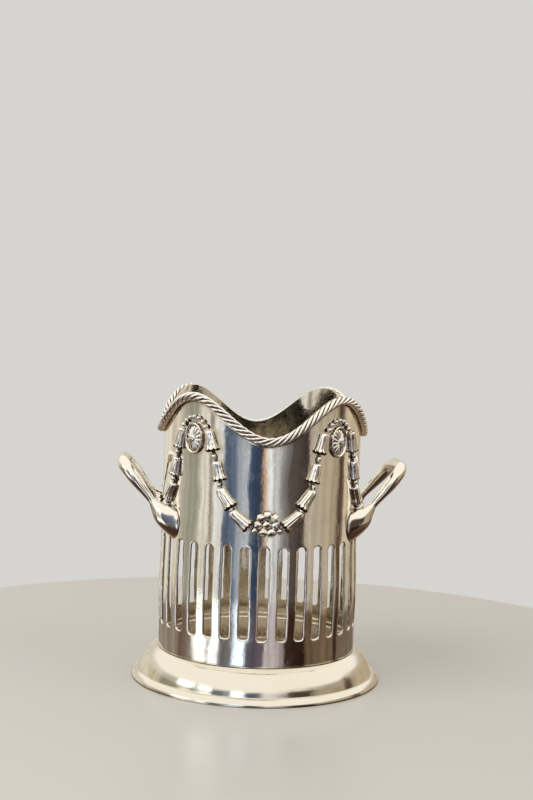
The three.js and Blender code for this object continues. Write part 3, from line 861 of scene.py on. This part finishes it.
def husk_part(degrees, height, tilt, length, seed):
    """A bell flower, mouth down: wide from the top, with shallow folds and a hollow flared mouth."""
    draw = np.random.default_rng(seed)
    # Distance from the top as a share of the length, and radius.
    outside = [
        (0.0, 0.02), (0.005, 1.1), (0.03, 1.7), (0.07, 2.0), (0.12, 2.12), (0.18, 2.19), (0.25, 2.25),
        (0.33, 2.32), (0.40, 2.38), (0.48, 2.44), (0.55, 2.5), (0.63, 2.58), (0.70, 2.68), (0.76, 2.78),
        (0.82, 2.9), (0.86, 3.04), (0.885, 3.18), (0.905, 3.22), (0.925, 3.1), (0.955, 2.86),
        (0.985, 2.55), (1.0, 2.2),
    ]
    hollow = [(0.985, 1.95), (0.95, 1.75), (0.88, 1.6), (0.78, 1.3), (0.70, 0.9), (0.68, 0.02)]
    down, radius = (np.array(column)[:, None] for column in zip(*outside, *hollow))
    last = len(outside)
    turn = circle(10 * HUSK_FOLDS)
    fold = np.abs(np.cos(HUSK_FOLDS / 2 * turn + draw.uniform(-0.5, 0.5)))
    crease = 1 - fold ** 0.6
    fold_depth = 0.10 + 0.05 * smoothstep(down, 0.5, 0.95)
    width = HUSK_FULLNESS * radius * (1 - smoothstep(down, 0.1, 0.4) * fold_depth * crease)
    scallop = 0.085 * (1 - fold) * smoothstep(down, 0.72, 0.98)
    z = length * (0.5 - down + scallop)
    outward = xyz(np.cos(turn), HUSK_FLATNESS * np.sin(turn), 0)
    local = xyz(0, 0.45, z) + outward * width[..., None]
    lumpy = ripples(seed, count=14, shortest=1.3, longest=3.4)
    local = local + outward * (0.055 * lumpy(local))[..., None]
    # Tarnish and painted shade in the folds and towards the sleeve, painted shade under the flared mouth,
    # and full painted shade in the hollow.
    tint = 0.7 * crease ** 2.2 * smoothstep(down, 0.12, 0.3)
    tint = tint + 0.62 * smoothstep(down, 0.895, 0.925) + 0.4 * crevice(local, -0.3, 0.7)
    tint[last:] = 1.0
    return grid_part(applied(local, degrees, height, tilt), 0.02 + tint)


def link_part(degrees, height, tilt, gap):
    """The long bead and stem between two husks."""
    bead, round_ball = ball((1.05, 1.15, 1.55), (0, 0.8, 0))
    # Tarnish and painted shade towards the sleeve and painted shade on the bead's underside. The stem is
    # tinted dark all over as tarnish and painted shade.
    bead_tint = 0.8 * crevice(bead, 0.0, 0.9) + 0.2 * smoothstep(-round_ball[..., 2], 0.7, 1.0)
    stem, _ = ball((0.75, 0.9, gap / 2 + 0.9), (0, 0.2, 0))
    return join_parts([
        grid_part(applied(bead, degrees, height, tilt), bead_tint),
        grid_part(applied(stem, degrees, height, tilt), 0.55),
    ])


def garland_part(side, spread, seed, shifts):
    """Half a festoon: four husks and the links between them. Shifts are in degrees, one a husk."""
    parts = []
    husks = [(degrees * spread + shift, height, tilt, length)
             for (degrees, height, tilt, length), shift in zip(HUSKS, shifts)]

    def end_of(husk, sign):
        """The top of a husk for a sign of 1, its mouth for -1: distance round and height."""
        degrees, height, tilt, length = husk
        across = 0.5 * length * math.sin(math.radians(tilt))
        along = 0.5 * length * math.cos(math.radians(tilt))
        return math.radians(degrees) * CASTING_BACK + sign * across, height + sign * along

    for index, husk in enumerate(husks):
        degrees, height, tilt, length = husk
        parts.append(husk_part(side * degrees, height, side * tilt, length, seed + index))
        if index == 0:
            continue
        above, below = end_of(husks[index - 1], -1), end_of(husk, 1)
        middle = math.degrees((above[0] + below[0]) / 2 / CASTING_BACK)
        gap = math.hypot(above[0] - below[0], above[1] - below[1])
        lean = math.degrees(math.atan2(above[0] - below[0], above[1] - below[1]))
        parts.append(link_part(side * middle, (above[1] + below[1]) / 2, side * lean, gap))
    return join_parts(parts)


def berries_part(seed):
    """A cluster of ten cast berries, each a little lumpy."""
    lumpy = ripples(seed, count=9, shortest=1.6, longest=4)
    parts = []
    for degrees, height, size in BERRIES:
        size *= BERRY_FULLNESS
        local, round_ball = ball((size, size * 0.95, size), (0, 0.7, 0), rows=20, columns=32)
        places = round_ball * size + np.array([degrees, 0, height])
        local = local + round_ball * (0.16 * lumpy(places) - 0.08)[..., None]
        # Tarnish and painted shade towards the sleeve and between the berries, and painted shade on each
        # berry's underside.
        tint = 0.95 * crevice(local, 0.2, 1.4) + 0.35 * smoothstep(-round_ball[..., 2], 0.45, 1.0)
        parts.append(grid_part(applied(local, degrees, height), tint))
    return join_parts(parts)


# ---- Assembly ----

add_piece("pierced_sleeve", sleeve_part(), "sleeve", PLATE)
add_piece("twisted_rope", rope_part(), "rope_border", ROPE, crease=60)
add_piece("spun_foot", foot_part(), "foot", FOOT_PLATE)
add_piece("pressed_pan", pan_part(), "floor_pan", PAN_PLATE)

handle = handle_part()
add_piece("loop_handle_right", handle, "handle_right", BAR)
add_piece("loop_handle_left", turned(handle, 180), "handle_left", BAR)

rosette, crest = rosette_part(), crest_part()
for corner, degrees in CORNERS.items():
    degrees += LEFT_ROSETTE_SHIFT * (corner == "front_left")
    for name, part, cad_node in (
        (f"flower_rosette_{corner}", rosette, f"rosette_{corner}"),
        (f"bead_arch_{corner}", crest, f"bead_crest_{corner}"),
    ):
        add_piece(name, turned(part, degrees), cad_node, CAST)

for number, (face, degrees, spread, halves) in enumerate(FESTOONS):
    for half, side in halves.items():
        shifts = LEFT_HUSK_SHIFTS if (face, half) == ("front", "left") else (0, 0, 0, 0)
        seed = 100 * number + 10 * (side + 2)
        garland = turned(garland_part(side, spread, seed, shifts), degrees)
        name = f"husk_garland_{face}_{half}"
        add_piece(name, garland, f"garland_{face}_{half}", CAST)
    berries = turned(berries_part(70 + number), degrees)
    add_piece(f"berry_cluster_{face}", berries, f"berries_{face}", CAST)


# ---- Stage: floor, light and camera ----

# In metres: the floor, which is a round table top, and the point that the lamps face
FLOOR_RADIUS = 0.28
FLOOR_DEPTH = 0.012
FLOOR_EDGE = 0.004
LAMPS_FACE = Vector((0, 0, 0.08))
# The camera, as it was solved from the photograph: metres, turns and millimetres of lens
CAMERA_DISTANCE = 0.7901
CAMERA_HEIGHT = 0.2084
CAMERA_AZIMUTH = math.radians(-4.341)
CAMERA_TURN = math.radians(-0.112)
CAMERA_TILT = math.radians(4.05)
CAMERA_ROLL = math.radians(1.902)
CAMERA_LENS = 65.05


def shade(*levels):
    """A colour from display levels of 0 to 255."""
    return tuple(((level / 255 + 0.055) / 1.055) ** 2.4 for level in levels)


def shaded(rows):
    """A band's degrees and colours, from rows of degrees and three display levels."""
    return [(degrees, shade(*levels)) for degrees, *levels in rows]


def add_floor():
    """A plain pale round table top. It isn't mirrored in the silver: the studio's own bands are."""
    bevel = 0.3 * FLOOR_EDGE
    profile = [(0.0, 0.0), (FLOOR_RADIUS - FLOOR_EDGE, 0.0), (FLOOR_RADIUS - bevel, -bevel),
               (FLOOR_RADIUS, -FLOOR_EDGE), (FLOOR_RADIUS, -FLOOR_DEPTH), (0.0, -FLOOR_DEPTH)]
    segments = 192
    radius, height = (np.array(column)[:, None] for column in zip(*profile))
    points = on_cylinder(circle(segments), np.maximum(radius, 1e-4), height)
    mesh = bpy.data.meshes.new("table_top")
    mesh.from_pydata(points.reshape(-1, 3).tolist(), [], grid_faces(len(profile), segments).tolist())
    material, _, shader = new_material("pale_table")
    shader.inputs["Base Color"].default_value = (*shade(160, 158, 155), 1)
    shader.inputs["Roughness"].default_value = 0.3
    mesh.materials.append(material)
    table = put_in_scene("table_top", mesh)
    table.visible_glossy = False


# What stands round the object, as seen in it: degrees round from the front, and a colour. The level
# band is the room at eye height, the high one the windows and walls above it, and the low one a
# dark table beyond the edge of the pale one, in which the windows show again. The under band is the
# table nearer by, in shade at the front. Below it is what the object stands on, and above the high
# band a pale ceiling.
LEVEL_BAND = shaded([
    (-180, 214, 208, 198), (-140, 228, 222, 208), (-122, 205, 192, 168), (-112, 214, 206, 188),
    (-104, 160, 155, 140), (-86, 150, 150, 134), (-79, 220, 216, 204), (-70, 224, 218, 206),
    (-64, 160, 150, 138), (-57, 232, 230, 226), (-51, 218, 216, 212), (-47, 84, 96, 116),
    (-35, 96, 108, 130), (-28, 172, 178, 188), (-19, 184, 188, 194), (-16, 58, 74, 98),
    (-3, 54, 66, 86), (1, 190, 150, 118), (5, 222, 222, 222), (14, 196, 198, 198), (22, 140, 136, 134),
    (32, 84, 76, 72), (50, 62, 52, 48), (54, 180, 168, 152), (92, 176, 160, 136), (99, 84, 68, 56),
    (105, 98, 82, 68), (109, 198, 182, 158), (150, 194, 176, 150), (180, 214, 208, 198),
])
HIGH_BAND = [
    (-180, (0.66, 0.62, 0.54)), (-120, (0.80, 0.76, 0.66)), (-90, (0.55, 0.53, 0.46)),
    (-80, (2.6, 2.6, 2.5)), (-66, (2.6, 2.6, 2.5)), (-62, (0.5, 0.5, 0.5)), (-57, (2.2, 2.2, 2.2)),
    (-50, (2.2, 2.2, 2.2)), (-45, (0.2, 0.2, 0.21)), (-28, (0.22, 0.24, 0.3)), (-24, (1.9, 2.2, 2.6)),
    (-16, (1.7, 2.0, 2.4)), (-12, (0.12, 0.14, 0.2)), (0, (0.12, 0.12, 0.14)), (5, (0.9, 0.9, 0.95)),
    (24, (0.7, 0.66, 0.66)), (32, (0.08, 0.06, 0.05)), (52, (0.08, 0.06, 0.05)),
    (60, (0.42, 0.36, 0.28)), (95, (0.5, 0.44, 0.34)), (101, (0.12, 0.09, 0.07)),
    (110, (0.55, 0.48, 0.38)), (180, (0.66, 0.62, 0.54)),
]
LOW_BAND = [
    (-180, shade(150, 140, 130)), (-112, shade(146, 132, 121)), (-105, shade(100, 84, 72)),
    (-86, shade(120, 106, 94)), (-80, (1.5, 1.5, 1.48)), (-68, (1.7, 1.7, 1.7)),
    (-63, shade(176, 178, 178)), (-57, (1.6, 1.6, 1.6)), (-51, (1.5, 1.5, 1.5)),
    (-47, shade(118, 114, 112)), (-34, shade(112, 108, 106)), (-27, (1.15, 1.3, 1.5)),
    (-19, (1.1, 1.25, 1.45)), (-14, shade(88, 82, 92)), (3, shade(92, 84, 92)),
    (7, shade(184, 176, 178)), (25, shade(172, 160, 162)), (31, shade(54, 38, 30)),
    (50, shade(42, 27, 20)), (56, shade(98, 80, 62)), (94, shade(112, 94, 74)),
    (100, shade(52, 34, 24)), (107, shade(104, 88, 74)), (140, shade(118, 104, 90)),
    (180, shade(150, 140, 130)),
]
UNDER_BAND = shaded([
    (-180, 158, 132, 112), (-128, 150, 124, 104), (-104, 76, 56, 47), (0, 62, 44, 38), (95, 72, 54, 45),
    (125, 150, 124, 104), (180, 158, 132, 112),
])
FLOOR_BELOW = shade(120, 108, 98)
CEILING = (1.10, 1.06, 0.98)
BACKDROP = shade(214, 212, 208)
# Where one band gives way to the next, as two elevations in degrees
LOW_TO_LEVEL = (-13.5, -10.5)
LEVEL_TO_HIGH = (6, 14)
HIGH_TO_CEILING = (15, 24)
UNDER_TO_LOW = (-33, -20)
FLOOR_TO_UNDER = (-76, -54)
# Streaks: how fine they are round and up, and how they darken and lighten the bands
STREAKS_ROUND = 11.0
STREAKS_UP = 1.6
STREAK_LEVELS = [(0.34, 0.74), (0.5, 1.0), (0.66, 1.22)]


def add_world():
    """Plain pale surroundings, and for the silver to mirror, soft upright bands of light and dark."""
    world = bpy.data.worlds.new("studio")
    bpy.context.scene.world = world
    world.use_nodes = True
    tree = world.node_tree
    direction = node(tree, "ShaderNodeTexCoord").outputs["Generated"]
    parts = node(tree, "ShaderNodeSeparateXYZ", {"Vector": direction})
    x, y, z = (parts.outputs[axis] for axis in "XYZ")
    round_angle = calc(tree, "ARCTAN2", x, calc(tree, "MULTIPLY", y, -1.0))
    share = calc(tree, "MULTIPLY_ADD", round_angle, 1 / TURN, 0.5)
    high_share = calc(tree, "MULTIPLY_ADD", calc(tree, "ARCSINE", z), 1 / math.pi, 0.5)

    def band(stops):
        return ramp(tree, share, [(0.5 + degrees / 360, colour) for degrees, colour in stops], "EASE")

    def height_mix(elevations, below, above):
        """One colour below the first elevation, the other above the second, and mixed between."""
        low, high = (0.5 + degrees / 180 for degrees in elevations)
        factor = ramp(tree, high_share, [(low, 0.0), (high, 1.0)], "EASE")
        inputs = {"Fac": factor, "Color1": below, "Color2": above}
        return node(tree, "ShaderNodeMixRGB", inputs).outputs["Color"]

    # Curtains and door frames break the bands into narrow upright streaks.
    place = node(tree, "ShaderNodeCombineXYZ", {
        "X": calc(tree, "MULTIPLY", round_angle, STREAKS_ROUND),
        "Y": calc(tree, "MULTIPLY", z, STREAKS_UP),
    }).outputs["Vector"]
    streaks = ramp(tree, noise(tree, place, 1.0, 3.0, 0.6), STREAK_LEVELS)
    seen = height_mix(LOW_TO_LEVEL, band(LOW_BAND), band(LEVEL_BAND))
    streaked = node(tree, "ShaderNodeVectorMath", {0: seen, 1: streaks}, operation="MULTIPLY")
    seen = height_mix(LEVEL_TO_HIGH, streaked.outputs["Vector"], band(HIGH_BAND))
    seen = height_mix(HIGH_TO_CEILING, seen, (*CEILING, 1))
    seen = height_mix(UNDER_TO_LOW, band(UNDER_BAND), seen)
    seen = height_mix(FLOOR_TO_UNDER, (*FLOOR_BELOW, 1), seen)
    plain = node(tree, "ShaderNodeMixRGB", {
        "Fac": node(tree, "ShaderNodeLightPath").outputs["Is Camera Ray"],
        "Color1": seen,
        "Color2": (*BACKDROP, 1),
    }).outputs["Color"]
    background = tree.nodes["Background"]
    tree.links.new(plain, background.inputs["Color"])


def add_softbox(name, azimuth, elevation, distance, size, power, colour):
    """A square area light that faces the middle of the object. The silver doesn't mirror it."""
    light = bpy.data.lights.new(name, "AREA")
    light.shape = "SQUARE"
    light.size = size
    light.energy = power
    light.color = colour
    lamp = put_in_scene(name, light)
    a, e = math.radians(azimuth), math.radians(elevation)
    away = Vector((math.sin(a) * math.cos(e), -math.cos(a) * math.cos(e), math.sin(e)))
    lamp.location = LAMPS_FACE + away * distance
    lamp.rotation_euler = away.to_track_quat("Z", "Y").to_euler()
    lamp.visible_camera = False
    lamp.visible_glossy = False


def add_camera():
    camera = put_in_scene("camera", bpy.data.cameras.new("camera"))
    camera.data.lens = CAMERA_LENS
    camera.data.clip_start = 0.01
    place = Vector((math.sin(CAMERA_AZIMUTH), -math.cos(CAMERA_AZIMUTH), 0)) * CAMERA_DISTANCE
    place.z = CAMERA_HEIGHT
    heading = Matrix.Rotation(CAMERA_AZIMUTH + CAMERA_TURN, 4, "Z")
    tilt = Matrix.Rotation(math.pi / 2 - CAMERA_TILT, 4, "X")
    roll = Matrix.Rotation(CAMERA_ROLL, 4, "Z")
    camera.matrix_world = Matrix.Translation(place) @ heading @ tilt @ roll
    bpy.context.scene.camera = camera


add_floor()
add_world()
add_softbox("key_softbox", azimuth=-55, elevation=52, distance=1.1, size=0.7, power=9,
            colour=(1.0, 0.98, 0.94))
add_softbox("fill_softbox", azimuth=60, elevation=40, distance=1.3, size=0.8, power=4,
            colour=(1.0, 0.95, 0.88))
add_camera()
bpy.context.scene.view_settings.view_transform = "Standard"
